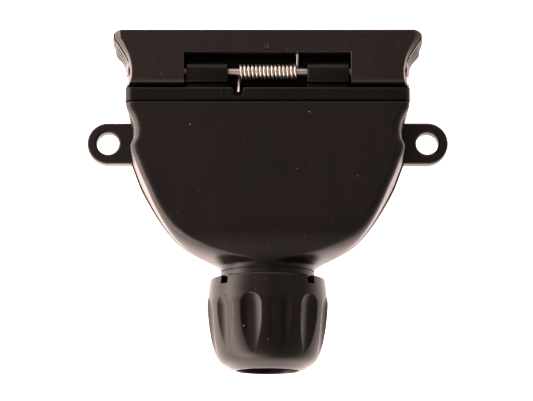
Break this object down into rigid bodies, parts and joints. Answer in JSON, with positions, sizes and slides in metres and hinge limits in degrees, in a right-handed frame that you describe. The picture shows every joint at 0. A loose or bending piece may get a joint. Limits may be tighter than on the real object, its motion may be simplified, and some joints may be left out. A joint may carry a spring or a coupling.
{
  "type": "trailer wiring connector",
  "caption": "Flat multi-way trailer socket with two mounting ears, a sprung lid over the plug mouth and a fluted cable gland nut.",
  "frame": {"origin": "midway between the two ear hole centres, on the mounting plane", "axes": "+Z away from the mounting plane through the flat top, +Y towards the plug mouth and lid, +X along the line through the ear holes"},
  "size_m": [0.0904, 0.0814, 0.03],
  "materials": {
    "shell_plastic": "warm black moulded plastic, satin, fine grain",
    "rubber": "black moulded rubber, matt",
    "block_resin": "dark grey insulating resin, satin",
    "contact_brass": "turned brass, lightly tarnished",
    "plated_steel": "zinc plated steel",
    "spring_steel": "bright drawn steel wire and pin"
  },
  "bodies": {
    "housing": {"base": "shell_plastic", "rear_shell": "shell_plastic", "front_frame": "shell_plastic", "body_gasket": "rubber", "frame_gasket": "rubber", "terminal_block": "block_resin", "contact_1": "contact_brass", "contact_2": "contact_brass", "contact_3": "contact_brass", "contact_4": "contact_brass", "contact_5": "contact_brass", "contact_6": "contact_brass", "contact_7": "contact_brass", "terminal_screw_1": "plated_steel", "terminal_screw_2": "plated_steel", "terminal_screw_3": "plated_steel", "terminal_screw_4": "plated_steel", "terminal_screw_5": "plated_steel", "terminal_screw_6": "plated_steel", "terminal_screw_7": "plated_steel", "block_screw_1": "plated_steel", "block_screw_2": "plated_steel", "base_screw_1": "plated_steel", "base_screw_2": "plated_steel", "base_screw_3": "plated_steel", "base_screw_4": "plated_steel", "torsion_spring": "spring_steel", "gland_grommet": "rubber"},
    "lid": {"lid": "shell_plastic", "lid_seal": "rubber", "hinge_pin": "spring_steel"},
    "clamp_ring": {"clamp_ring": "block_resin"},
    "gland_nut": {"gland_nut": "shell_plastic"}
  },
  "joints": [
    {"name": "lid_hinge", "type": "hinge", "parent": "housing", "child": "lid", "pos_m": [0, 0.01315, 0.027], "axis": [1, 0, 0], "range_deg": [0, 100], "deforming": ["torsion_spring"]},
    {"name": "ring_slide", "type": "slide", "parent": "housing", "child": "clamp_ring", "axis": [0, -1, 0], "range_m": [0, 0.01]},
    {"name": "nut_turn", "type": "hinge", "parent": "clamp_ring", "child": "gland_nut", "pos_m": [0, -0.047, 0.015], "axis": [0, -1, 0], "range_deg": [0, 1800]}
  ],
  "couplings": [
    {"joint": "nut_turn", "follows": "ring_slide", "rad_per_m": 3141.6}
  ]
}
